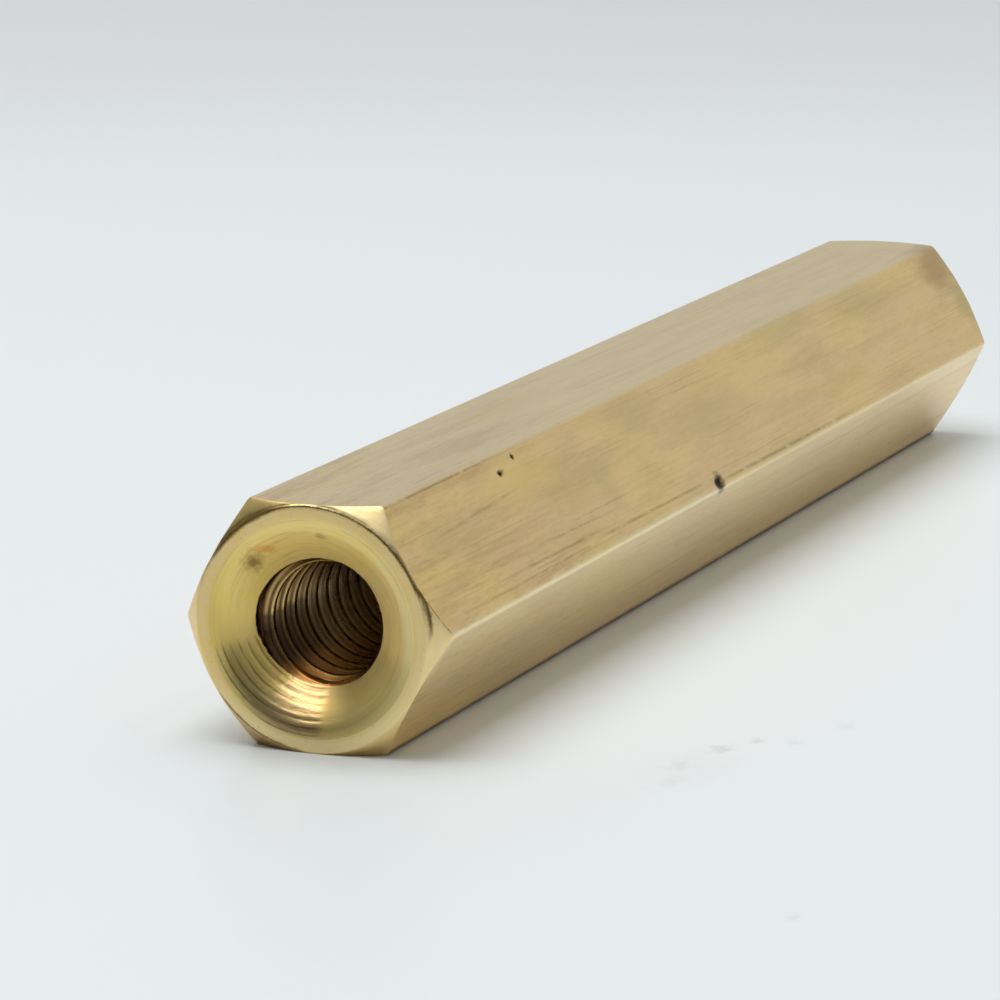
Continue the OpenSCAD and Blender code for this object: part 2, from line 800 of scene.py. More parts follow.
    def weave_chamfer(self, skin: Skin, rim: np.ndarray) -> np.ndarray:
        """Weave the gap at the rim and the corner chamfer, a cone that runs out on each flat.

        Args:
            skin: The skin to add to.
            rim: The ring of points at the rim of the end face.

        Returns:
            The ring of points on the drawn bar just past the chamfer.
        """
        angles = self.bar.angles()
        outline = self.bar.radius(angles)
        start = self.rim(angles)
        room = outline - start
        uneven = 1.0 + 0.5 * self.ripple.heights(angles + 1.0)
        deep = self.burr_gap * self.wear(angles) * np.clip(uneven, 0.2, 1.8)
        narrow = np.minimum(0.8 * room, self.gap_room)
        crease = self.crease * smooth_step(room, 0.06, 0.2)
        last = room - crease
        steps = [narrow * share for share in (0.2, 0.45, 0.7, 0.95)]
        steps += [narrow + (last - narrow) * share for share in (0.3, 0.65, 1.0)]
        ring = rim
        for step in steps:
            radius = start + step
            below = np.maximum(radius - self.face_radius, 0.006) + deep * self.gap(step)
            ring = self.grow(skin, ring, below, radius, angles, Surface.CHAMFER)
        meets = outline - self.face_radius + deep * self.gap(room) + self.crease_drop
        ring = self.grow(skin, ring, meets, outline - 0.25 * crease, angles, Surface.CHAMFER)
        below = meets + np.maximum(crease, 0.01)
        return self.grow(skin, ring, below, outline, angles, Surface.FLATS)

    def weave(self, skin: Skin) -> np.ndarray:
        """Weave the whole end.

        Args:
            skin: The skin to add to.

        Returns:
            Its last ring, where the drawn bar begins.
        """
        foot = self.weave_hole(skin)
        mouth = self.weave_countersink(skin, foot)
        rim = self.weave_face(skin, mouth)
        return self.weave_chamfer(skin, rim)


@dataclass(frozen=True)
class Mark:
    """A small pit or dent in the skin of the bar.

    Attributes:
        place: Its centre, in millimetres.
        reach: Half its length along X, across and up.
        depth: How deep it goes, towards the axis of the bar.
    """

    place: Triple
    reach: Triple
    depth: float

    def press(self, points: np.ndarray, inward: np.ndarray) -> np.ndarray:
        """Work out how the mark moves the points of a ring.

        Args:
            points: The points.
            inward: The direction from each of them towards the axis.

        Returns:
            How far each of them moves.
        """
        away = np.sum(((points - self.place) / self.reach) ** 2, axis=1)
        amount = self.depth * np.clip(1.0 - away, 0.0, 1.0) ** 1.5
        return inward * amount[:, None]


class Tone(Enum):
    """The colours that bare, drawn and tarnished brass shows, some of them also used to paint light
    and shade on it.
    """

    BRIGHT = (0.97, 0.91, 0.74)
    HAZY = (0.96, 0.87, 0.72)
    ASHEN = (0.86, 0.815, 0.68)
    BARE = (0.95, 0.84, 0.61)
    GOLDEN = (0.95, 0.83, 0.53)
    LEMON = (0.97, 0.89, 0.56)
    YELLOW = (0.92, 0.82, 0.40)
    ROSY = (0.92, 0.79, 0.60)
    OLIVE = (0.80, 0.73, 0.49)
    BROWN = (0.66, 0.51, 0.31)
    COPPER = (0.92, 0.64, 0.33)
    OILY = (0.47, 0.36, 0.25)
    UMBER = (0.27, 0.19, 0.15)
    DIRT = (0.43, 0.32, 0.14)
    GRIME = (0.16, 0.10, 0.04)


@dataclass(frozen=True)
class Stain:
    """A soft patch of another tone on the brass.

    Attributes:
        place: Its centre, in millimetres.
        reach: Half its length along X, across and up.
        tone: Its tone.
        strength: How much of the tone shows, from 0 to 1.
    """

    place: Triple
    reach: Triple
    tone: Tone
    strength: float


@dataclass(frozen=True)
class Tint:
    """A tone in a window of angles round the axis, as seen on the near end.

    Attributes:
        tone: The tone.
        centre: The middle of the window, in degrees.
        reach: Half the width of the window, in degrees.
        soft: How many degrees its edge takes.
        even: How much of the tone shows all over, from 0 to 1.
        patchy: How much more of it shows in patches.
    """

    tone: Tone
    centre: float
    reach: float
    soft: float
    even: float
    patchy: float = 0.0


@dataclass(frozen=True)
class Scratch:
    """A fine dark line on the drawn flats.

    Attributes:
        first: Where it starts, in millimetres.
        last: Where it ends.
        width: How wide it is.
        wobble: How far it strays from a straight line.
        strength: How dark it is, from 0 to 1.
    """

    first: Triple
    last: Triple
    width: float
    wobble: float
    strength: float


def linear(colour: Triple) -> tuple[float, float, float, float]:
    """Turn a colour as it looks, each part from 0 to 1, into the numbers that shaders use."""
    parts = [c / 12.92 if c <= 0.04045 else ((c + 0.055) / 1.055) ** 2.4 for c in colour]
    return (parts[0], parts[1], parts[2], 1.0)


class Signal:
    """One output socket of a shader graph. Arithmetic on it adds Math nodes."""

    def __init__(self, graph: Graph, socket: bpy.types.NodeSocket) -> None:
        """Wrap a socket of a graph."""
        self.graph = graph
        self.socket = socket

    def __add__(self, other: Value) -> Signal:
        """Return the sum."""
        return self.graph.math("ADD", self, other)

    __radd__ = __add__

    def __mul__(self, other: Value) -> Signal:
        """Return the product."""
        return self.graph.math("MULTIPLY", self, other)

    __rmul__ = __mul__

    def __sub__(self, other: Value) -> Signal:
        """Return this less the other."""
        return self.graph.math("SUBTRACT", self, other)

    def __rsub__(self, other: Value) -> Signal:
        """Return the other less this."""
        return self.graph.math("SUBTRACT", other, self)

    def __truediv__(self, other: Value) -> Signal:
        """Return this divided by the other."""
        return self.graph.math("DIVIDE", self, other)

    def __rtruediv__(self, other: Value) -> Signal:
        """Return the other divided by this."""
        return self.graph.math("DIVIDE", other, self)

    def __abs__(self) -> Signal:
        """Return the size of this, without its sign."""
        return self.graph.math("ABSOLUTE", self)

    def root(self) -> Signal:
        """Return the square root of this, or 0 where it is negative."""
        return self.graph.math("SQRT", self.at_least(0.0))

    def wave(self) -> Signal:
        """Return the sine of this, in radians."""
        return self.graph.math("SINE", self)

    def at_least(self, other: Value) -> Signal:
        """Return the larger of this and the other."""
        return self.graph.math("MAXIMUM", self, other)

    def at_most(self, other: Value) -> Signal:
        """Return the smaller of this and the other."""
        return self.graph.math("MINIMUM", self, other)

    def rise(self, low: float, high: float) -> Signal:
        """Rise smoothly with this.

        Args:
            low: What gives 0.
            high: What gives 1. It may lie below low.

        Returns:
            The risen signal.
        """
        settings = {"interpolation_type": "SMOOTHSTEP"}
        sockets = {"Value": self, "From Min": low, "From Max": high}
        return self.graph.node("ShaderNodeMapRange", settings, sockets)["Result"]


Value = Union[Signal, float]
Vectorial = Union[Signal, Triple]


class Graph:
    """The shader nodes of one material or world."""

    def __init__(self, owner: Union[bpy.types.Material, bpy.types.World]) -> None:
        """Empty the node tree of its owner, to draw a new graph in it.

        Args:
            owner: The material or the world that owns it.
        """
        owner.use_nodes = True
        self.tree = owner.node_tree
        self.tree.nodes.clear()

    def node(
        self,
        kind: str,
        settings: Mapping[str, object] | None = None,
        sockets: Mapping[Union[str, int], object] | None = None,
    ) -> dict[Union[str, int], Signal]:
        """Add a node.

        Args:
            kind: Blender's name for the type of node.
            settings: Its settings, which are set first. "stops" gives a ramp's stops.
            sockets: A value or a Signal for each input that isn't left as it is.

        Returns:
            The node's outputs, by number and by name.
        """
        made = self.tree.nodes.new(kind)
        for name, value in (settings or {}).items():
            if name == "stops":
                self.set_stops(made.color_ramp, value)
            else:
                setattr(made, name, value)
        for name, value in (sockets or {}).items():
            if isinstance(value, Signal):
                self.tree.links.new(value.socket, made.inputs[name])
            else:
                made.inputs[name].default_value = value
        outputs = {i: Signal(self, output) for i, output in enumerate(made.outputs)}
        outputs.update({output.name: Signal(self, output) for output in made.outputs})
        return outputs

    def set_stops(self, ramp: bpy.types.ColorRamp, stops: Sequence[tuple[float, Triple]]) -> None:
        """Give a colour ramp its stops, each a place and a colour.

        Args:
            ramp: The ramp.
            stops: The place and the colour of each stop.
        """
        while len(ramp.elements) < len(stops):
            ramp.elements.new(1.0)
        for element, (place, colour) in zip(ramp.elements, stops):
            element.position = place
            element.color = linear(colour)

    def math(self, operation: str, *values: Value) -> Signal:
        """Return a Math node's result for one or two values."""
        return self.node("ShaderNodeMath", {"operation": operation}, dict(enumerate(values)))[0]

    def vector(self, operation: str, *values: Vectorial) -> Signal:
        """Return a Vector Math node's vector for one or two vectors."""
        settings = {"operation": operation}
        return self.node("ShaderNodeVectorMath", settings, dict(enumerate(values)))[0]

    def measure(self, operation: str, *values: Vectorial) -> Signal:
        """Return a Vector Math node's number, such as a length, for one or two vectors."""
        settings = {"operation": operation}
        return self.node("ShaderNodeVectorMath", settings, dict(enumerate(values)))["Value"]

    def combine(self, x: Value, y: Value, z: Value) -> Signal:
        """Return a vector made of three numbers."""
        return self.node("ShaderNodeCombineXYZ", None, {"X": x, "Y": y, "Z": z})[0]

    def split(self, vector: Signal) -> tuple[Signal, Signal, Signal]:
        """Return the X, Y and Z of a vector."""
        parts = self.node("ShaderNodeSeparateXYZ", None, {0: vector})
        return parts["X"], parts["Y"], parts["Z"]

    def mix(self, amount: Value, first: Vectorial, second: Vectorial) -> Signal:
        """Mix two colours.

        Args:
            amount: How much of the second colour shows, from 0 to 1.
            first: One colour.
            second: The other colour.

        Returns:
            The mix.
        """
        pair = [c if isinstance(c, Signal) else linear(c) for c in (first, second)]
        sockets = {0: amount, 6: pair[0], 7: pair[1]}
        return self.node("ShaderNodeMix", {"data_type": "RGBA", "clamp_factor": True}, sockets)[2]

    def noise(
        self,
        place: Signal,
        scale: Union[Triple, float],
        detail: float,
        roughness: float,
        swirl: float = 0.0,
    ) -> Signal:
        """Return noise from 0 to 1, about 0.5.

        Args:
            place: Where it is read, in millimetres.
            scale: Waves in a millimetre, or three numbers for X, Y and Z.
            detail: How many finer layers it has.
            roughness: How strong the finer layers are.
            swirl: How much it swirls.

        Returns:
            The noise.
        """
        if isinstance(scale, tuple):
            place, scale = self.vector("MULTIPLY", place, scale), 1.0
        sockets = {
            "Vector": place,
            "Scale": scale,
            "Detail": detail,
            "Roughness": roughness,
            "Distortion": swirl,
        }
        return self.node("ShaderNodeTexNoise", None, sockets)["Fac"]

    def away(self, place: Signal, centre: Triple, reach: Triple) -> Signal:
        """Return how far a place is from a centre, as a share of a reach on each axis."""
        apart = self.vector("SUBTRACT", place, centre)
        return self.measure("LENGTH", self.vector("DIVIDE", apart, reach))

    def place(self) -> Signal:
        """Return the place on the object, in millimetres."""
        read = self.node("ShaderNodeTexCoord")["Object"]
        return self.vector("MULTIPLY", read, (1 / MILLIMETRE,) * 3)


@dataclass(frozen=True)
class BarPlaces:
    """Places on the bar in the terms that its finishes need.

    Attributes:
        place: The place itself, in millimetres.
        along: Distance along the axis from the middle of the bar.
        below: Depth below the nearer end face.
        radius: Distance from the axis.
        cosine: Cosine of the angle round the axis, which turns half round for the far end.
        steady: The same without that turn, for what runs the whole length of the bar.
        sine: Sine of that angle.
        edge: Distance along a flat from the nearest long edge.
    """

    place: Signal
    along: Signal
    below: Signal
    radius: Signal
    cosine: Signal
    steady: Signal
    sine: Signal
    edge: Signal

    @classmethod
    def read(cls, graph: Graph, bar: HexBar) -> BarPlaces:
        """Read the places that a graph is drawn at.

        Args:
            graph: The graph.
            bar: The bar that it is drawn on.

        Returns:
            The places.
        """
        place = graph.place()
        along, across, height = graph.split(place)
        up = height - bar.apothem
        squared = across * across + up * up
        radius = squared.root().at_least(1e-4)
        facing = -1.0 * graph.math("SIGN", along)
        on_flat = (squared - bar.apothem**2).root()
        return cls(
            place=place,
            along=along,
            below=bar.length / 2.0 - abs(along),
            radius=radius,
            cosine=across * facing / radius,
            steady=across / radius,
            sine=up / radius,
            edge=bar.apothem * math.tan(math.radians(30)) - on_flat,
        )

    def whole(self) -> BarPlaces:
        """Return the same places, with angles that run on past the middle of the bar."""
        return replace(self, cosine=self.steady)

    def turned_rings(self, count: float) -> Signal:
        """Return where noise is read to draw rings round the axis, so many in a millimetre."""
        return self.radius.graph.combine(self.radius * count, self.steady, self.sine)

    def towards(self, centre: float, reach: float, soft: float = 12.0) -> Signal:
        """Return 1 in a window of angles round the axis, as seen on the near end.

        Args:
            centre: The middle of the window, in degrees.
            reach: Half the width of the window, in degrees.
            soft: How many degrees its edge takes.

        Returns:
            The window.
        """
        turn = math.radians(centre)
        closeness = self.cosine * math.cos(turn) + self.sine * math.sin(turn)
        outer, inner = reach + soft / 2.0, max(reach - soft / 2.0, 0.0)
        return closeness.rise(math.cos(math.radians(outer)), math.cos(math.radians(inner)))


class Coat:
    """A brass finish in the making, with its colour laid on tone by tone."""

    def __init__(self, name: str, bar: HexBar, ground: Tone) -> None:
        """Start a material.

        Args:
            name: Name of the material.
            bar: The bar that it is on.
            ground: Its first tone.
        """
        self.material = bpy.data.materials.new(name)
        self.graph = Graph(self.material)
        self.at = BarPlaces.read(self.graph, bar)
        self.colour: Vectorial = ground.value

    def noise(
        self, scale: Union[Triple, float], detail: float, roughness: float, swirl: float = 0.0
    ) -> Signal:
        """Return noise from 0 to 1 on the bar, as Graph.noise does."""
        return self.graph.noise(self.at.place, scale, detail, roughness, swirl)

    def lay(self, amount: Value, tone: Tone) -> None:
        """Lay a tone over the colour, whole where amount is 1."""
        self.colour = self.graph.mix(amount, self.colour, tone.value)

    def tint(self, tint: Tint, patches: Value = 0.0) -> None:
        """Lay a tint on.

        Args:
            tint: The tint.
            patches: Noise from 0 to 1, for what it shows in patches.
        """
        window = self.at.towards(tint.centre, tint.reach, tint.soft)
        self.lay(window * (patches * tint.patchy + tint.even), tint.tone)

    def stain(self, stain: Stain, ragged: Signal) -> None:
        """Lay a stain on.

        Args:
            stain: The stain.
            ragged: Noise about 0 that makes its outline uneven.
        """
        size = self.graph.away(self.at.place, stain.place, stain.reach)
        self.lay((size + ragged).rise(1.05, 0.2) * stain.strength, stain.tone)

    def scratch(self, scratch: Scratch, stray: Signal) -> None:
        """Draw a scratch.

        Args:
            scratch: The scratch.
            stray: Noise about 0 that makes it wander and fade.
        """
        graph = self.graph
        span = Vector(scratch.last) - Vector(scratch.first)
        away = graph.vector("SUBTRACT", self.at.place, scratch.first)
        share = graph.measure("DOT_PRODUCT", away, tuple(span / span.length_squared))
        share = share.at_least(0.0).at_most(1.0)
        nearest = graph.vector("MULTIPLY", graph.combine(share, share, share), tuple(span))
        distance = graph.measure("DISTANCE", away, nearest) + stray * (2.0 * scratch.wobble)
        line = distance.rise(scratch.width, 0.0)
        ends = share.rise(0.0, 0.25) * share.rise(1.0, 0.7)
        self.lay(line * ends * stray.rise(-0.2, 0.1) * scratch.strength, Tone.DIRT)

    def complete(self, roughness: Value, height: Signal) -> bpy.types.Material:
        """Finish the material with one metal shader.

        Args:
            roughness: Its roughness.
            height: Its fine relief, in millimetres.

        Returns:
            The material.
        """
        relief = {"Height": height, "Strength": 1.0, "Distance": MILLIMETRE}
        sockets = {
            "Base Color": self.colour,
            "Roughness": roughness,
            "Metallic": 1.0,
            "Normal": self.graph.node("ShaderNodeBump", None, relief)["Normal"],
        }
        shader = self.graph.node("ShaderNodeBsdfPrincipled", None, sockets)["BSDF"]
        self.graph.node("ShaderNodeOutputMaterial", None, {"Surface": shader})
        return self.material


@dataclass(frozen=True)
class Finish:
    """What the finishes of the bar have in common.

    Attributes:
        bar: The bar that they are on.
        face_radius: Radius of the rim of the end faces.
    """

    bar: HexBar
    face_radius: float

    def rim_dirt_and_shadow(self, coat: Coat) -> Signal:
        """Draw the ragged dark line at the rim, where the chamfering tool left a burr: dirt, and a
        painted shadow of the burr.

        Towards one corner the line strays from the rim onto the chamfer.

        Args:
            coat: The coat that is drawn.

        Returns:
            How much of the dark line shows, from 0 to 1.
        """
        at = coat.at
        strayed = at.towards(170.0, 8.0, 16.0) * 0.11
        on_side = abs(at.below - strayed)
        from_line = on_side.at_least(self.face_radius - 0.02 - at.radius)
        coarse = coat.noise(4.5, 3.0, 0.6) - 0.5
        fine = coat.noise(20.0, 2.0, 0.6) - 0.5
        thick = at.towards(50.0, 18.0) * 1.6 + at.towards(157.0, 22.0) * 0.4
        thin = at.towards(106.0, 71.0, 14.0) + at.towards(300.0, 22.0) * 0.7
        width = 0.045 + thick * 0.06 + coarse * 0.12 + fine * 0.1
        return (1.0 - from_line / width.at_least(0.004)).rise(0.0, 0.85) * thin.at_most(0.9)


class DrawnFlats(Finish):
    """The drawn flats: satin, with lines along the bar, cloudy tarnish, worn edges partly painted as
    highlights, painted light on the lower flat and painted shade along the bottom edges.
    """

    stains = (
        Stain((-21.9, -2.81, 5.63), (2.6, 0.7, 1.0), Tone.OLIVE, 0.35),
        Stain((-15.9, -2.5, 6.2), (3.6, 0.7, 1.1), Tone.GOLDEN, 0.7),
        Stain((-13.2, -2.9, 5.4), (2.2, 0.9, 1.3), Tone.OLIVE, 0.35),
        Stain((-10.8, -3.09, 5.15), (1.0, 1.0, 1.1), Tone.OLIVE, 0.38),
        Stain((-6.8, -2.33, 6.47), (3.2, 0.7, 0.8), Tone.OLIVE, 0.42),
        Stain((-2.0, -2.9, 5.5), (4.5, 0.8, 1.2), Tone.OLIVE, 0.35),
        Stain((7.3, -2.19, 6.7), (4.5, 0.6, 0.8), Tone.OLIVE, 0.38),
        Stain((14.7, -2.28, 6.55), (3.6, 0.6, 0.8), Tone.OLIVE, 0.38),
        Stain((-15.5, -0.53, 7.0), (4.5, 0.7, 0.5), Tone.BROWN, 0.22),
        Stain((-10.4, 0.58, 7.0), (4.0, 1.0, 0.5), Tone.OLIVE, 0.3),
        Stain((23.6, -2.3, 6.6), (2.6, 1.3, 1.6), Tone.BROWN, 0.6),
        Stain((24.6, -3.2, 5.0), (1.2, 1.0, 1.6), Tone.OLIVE, 0.7),
    )
    scratches = (
        Scratch((-28.5, -2.07, 6.95), (-16.5, -2.07, 6.95), 0.07, 0.03, 0.9),
        Scratch((-20.5, -2.07, 6.95), (-12.0, -2.09, 6.94), 0.045, 0.03, 0.6),
        Scratch((-22.8, -2.75, 5.74), (-15.9, -2.6, 6.0), 0.08, 0.05, 0.34),
        Scratch((-16.9, -3.5, 4.44), (-10.4, -3.54, 4.37), 0.07, 0.04, 0.34),
        Scratch((-14.6, -3.41, 4.6), (-9.2, -3.42, 4.58), 0.06, 0.03, 0.28),
        Scratch((-20.5, -3.68, 4.13), (-12.5, -3.72, 4.06), 0.08, 0.05, 0.42),
        Scratch((-24.2, -3.84, 3.84), (-12.0, -3.84, 3.84), 0.08, 0.05, 0.38),
        Scratch((-14.0, -3.8, 3.92), (-3.0, -3.84, 3.85), 0.09, 0.06, 0.5),
        Scratch((-4.5, -3.92, 3.68), (11.0, -3.95, 3.62), 0.1, 0.06, 0.6),
    )
    pits = (
        Stain((-15.78, -2.13, 6.71), (0.15, 0.16, 0.16), Tone.GRIME, 1.0),
        Stain((-16.96, -2.27, 6.46), (0.29, 0.15, 0.15), Tone.GRIME, 1.0),
        Stain((-3.3, -3.86, 3.63), (0.52, 0.42, 0.40), Tone.GRIME, 1.0),
        Stain((-3.3, -3.84, 3.66), (0.46, 0.34, 0.34), Tone.GRIME, 1.0),
    )

    def crease_dirt(self, at: BarPlaces, stray: Signal) -> Signal:
        """Draw the crooked line of dirt where one chamfer meets the flat above it.

        Args:
            at: The places on the bar.
            stray: Noise about 0 that makes it crooked.

        Returns:
            How much dirt shows, from 0 to 1.
        """
        from_crease = abs(at.radius - self.face_radius - at.below + stray * 0.12)
        window = at.below.rise(0.62, 0.57) * at.towards(170.0, 8.0, 4.0)
        return from_crease.rise(0.07, 0.01) * window * 0.75

    def material(self) -> bpy.types.Material:
        """Draw the material of the flats.

        Returns:
            The material.
        """
        coat = Coat("drawn_flats", self.bar, Tone.BARE)
        at = coat.at
        whole = at.whole()
        drawn = coat.noise((0.07, 3.2, 3.2), 4.0, 0.6)
        hairs = coat.noise((0.13, 15.0, 15.0), 3.0, 0.6)
        clouds = coat.noise((0.16, 0.5, 0.5), 3.0, 0.5, 0.3)
        patches = coat.noise((0.25, 0.9, 0.9), 4.0, 0.6, 0.3)
        grain = coat.noise((1.6, 9.0, 9.0), 3.0, 0.6)
        streaks = coat.noise((0.2, 2.2, 2.2), 3.0, 0.55)
        stray = coat.noise((1.5, 6.0, 6.0), 3.0, 0.6) - 0.5
        ragged = coat.noise((0.5, 1.5, 1.5), 4.0, 0.6) - 0.5
        near = at.along.rise(-6.0, -24.0)

        coat.lay(clouds.rise(0.32, 0.68) * 0.3 + near * 0.5, Tone.GOLDEN)
        coat.lay(clouds.rise(0.60, 0.38) * 0.5, Tone.ROSY)
        coat.lay(patches.rise(0.46, 0.72) * 0.3, Tone.OLIVE)
        coat.lay(whole.towards(90.0, 30.0, 3.0) * 0.65, Tone.ASHEN)
        # Painted light: the lower flat is laid lighter, more so away from the near end.
        coat.lay(whole.towards(210.0, 30.0, 3.0) * (0.5 - near * 0.4), Tone.HAZY)
        smeared = streaks.rise(0.40, 0.80) * at.sine.rise(-0.1, 0.1)
        coat.lay(smeared * (0.15 + near * 0.27), Tone.BROWN)
        lines = hairs.rise(0.54, 0.70) * (0.3 + patches.rise(0.35, 0.6) * 0.7)
        coat.lay(lines * 0.27, Tone.BROWN)
        coat.lay(drawn.rise(0.50, 0.74) * 0.25, Tone.OLIVE)
        coat.lay(grain.rise(0.42, 0.82) * (0.1 + near * 0.15), Tone.BROWN)

        for stain in self.stains:
            coat.stain(stain, ragged)
        # Worn edges, partly a painted highlight: the rounded edges are laid bright, most of all one
        # edge near the near end, and a painted sheen fades across the lower flat below it.
        rubbed_and_highlit = whole.towards(180.0, 8.0) * at.along.rise(0.0, -6.0)
        worn = (at.edge + stray * 0.3).rise(0.22, 0.05) * (0.15 + rubbed_and_highlit * 0.6)
        painted_sheen = at.edge.rise(1.1, 0.1) * whole.towards(197.0, 15.0, 6.0)
        coat.lay(worn * 0.7 + painted_sheen * 0.4, Tone.BRIGHT)
        for scratch in self.scratches:
            coat.scratch(scratch, stray)
        for pit in self.pits:
            coat.stain(pit, stray)
        # Painted shade: a dark line along the bottom edges, where the bar meets the table.
        contact_shade = at.edge.rise(0.3, 0.02) * at.sine.rise(-0.76, -0.83) * (0.9 + stray)
        # Laid as one: the rim line of dirt and painted burr shadow, the painted contact shade and the
        # crooked line at the crease.
        dirt_and_shade = self.rim_dirt_and_shadow(coat).at_least(contact_shade).at_least(self.crease_dirt(at, stray))
        coat.lay(dirt_and_shade, Tone.DIRT)

        roughness = 0.37 + (drawn - 0.5) * 0.15 + (clouds - 0.5) * 0.1 + (grain - 0.5) * 0.12
        height = drawn * 0.006 + hairs * 0.003 + grain * 0.0012 + worn * stray * 0.02
        return coat.complete(roughness - worn * 0.08 + dirt_and_shade * 0.2, height)


class TurnedChamfer(Finish):
    """The corner chamfers: turned brass, with painted light on one corner, painted shade on others,
    and tarnish.
    """

    # Painted shade on corner B (olive at 60) and over the highlight on corner C (olive and ashen at
    # 120), painted light on corner D (bright at 180); the other tints are tones of the brass.
    tints = (
        Tint(Tone.OLIVE, 60.0, 24.0, 12.0, 0.1, 0.3),
        Tint(Tone.YELLOW, 60.0, 24.0, 12.0, 0.3),
        Tint(Tone.BROWN, 180.0, 24.0, 12.0, 0.0, 0.15),
        Tint(Tone.BROWN, 300.0, 24.0, 12.0, 0.1, 0.5),
        Tint(Tone.OLIVE, 120.0, 26.0, 12.0, 0.5),
        Tint(Tone.ASHEN, 120.0, 26.0, 12.0, 0.3),
        Tint(Tone.BRIGHT, 180.0, 24.0, 12.0, 0.2),
    )

    def material(self) -> bpy.types.Material:
        """Draw the material of the chamfers.

        Returns:
            The material.
        """
        coat = Coat("corner_chamfers", self.bar, Tone.BARE)
        graph, at = coat.graph, coat.at
        worn = coat.noise(5.0, 4.0, 0.6)
        turning = graph.noise(graph.combine(at.radius * 16.0, 0.0, 0.0), 1.0, 2.0, 0.5)
        coat.lay(worn.rise(0.4, 0.65) * 0.5, Tone.GOLDEN)
        for tint in self.tints:
            coat.tint(tint, worn)
        # Darker near the rim on corner B.
        darker_by_rim = at.below.rise(0.38, 0.02) * at.towards(55.0, 20.0) * (worn + 0.2)
        coat.lay(darker_by_rim * 0.6, Tone.DIRT)
        # The rim line: dirt and a painted shadow of the burr.
        dirt_and_shade = self.rim_dirt_and_shadow(coat)
        coat.lay(dirt_and_shade, Tone.DIRT)
        roughness = 0.36 + dirt_and_shade * 0.2 + (worn - 0.5) * 0.15 + at.towards(120.0, 26.0) * 0.1
        return coat.complete(roughness, turning * 0.003 + worn * 0.004)


class TurnedFace(Finish):
    """The flat ring of each end face, with fine rings from facing, and painted light on one side."""

    # Painted light on the lower side of the ring.
    painted_light_side = Tint(Tone.BRIGHT, 255.0, 55.0, 60.0, 0.4)

    def material(self) -> bpy.types.Material:
        """Draw the material of the end faces.

        Returns:
            The material.
        """
        coat = Coat("turned_faces", self.bar, Tone.BARE)
        at = coat.at
        turning = coat.graph.noise(at.turned_rings(13.0), 1.0, 3.0, 0.6)
        cloudy = coat.noise(1.3, 4.0, 0.6)
        speck = coat.noise(7.0, 4.0, 0.65)
        coat.lay(cloudy.rise(0.35, 0.65) * 0.8, Tone.GOLDEN)
        coat.tint(self.painted_light_side)
        inner = at.radius.rise(self.face_radius - 0.15, self.face_radius - 0.5)
        coat.lay(inner * 0.6, Tone.GOLDEN)
        coat.lay(turning.rise(0.55, 0.8) * 0.3, Tone.OLIVE)
        coat.lay(speck.rise(0.60, 0.72) * 0.35, Tone.BROWN)
        # The rim line: dirt and a painted shadow of the burr.
        dirt_and_shade = self.rim_dirt_and_shadow(coat)
        coat.lay(dirt_and_shade, Tone.DIRT)
        roughness = 0.4 + inner * 0.08 + (turning - 0.5) * 0.15 + dirt_and_shade * 0.2
        return coat.complete(roughness, turning * 0.003 + speck * 0.003)


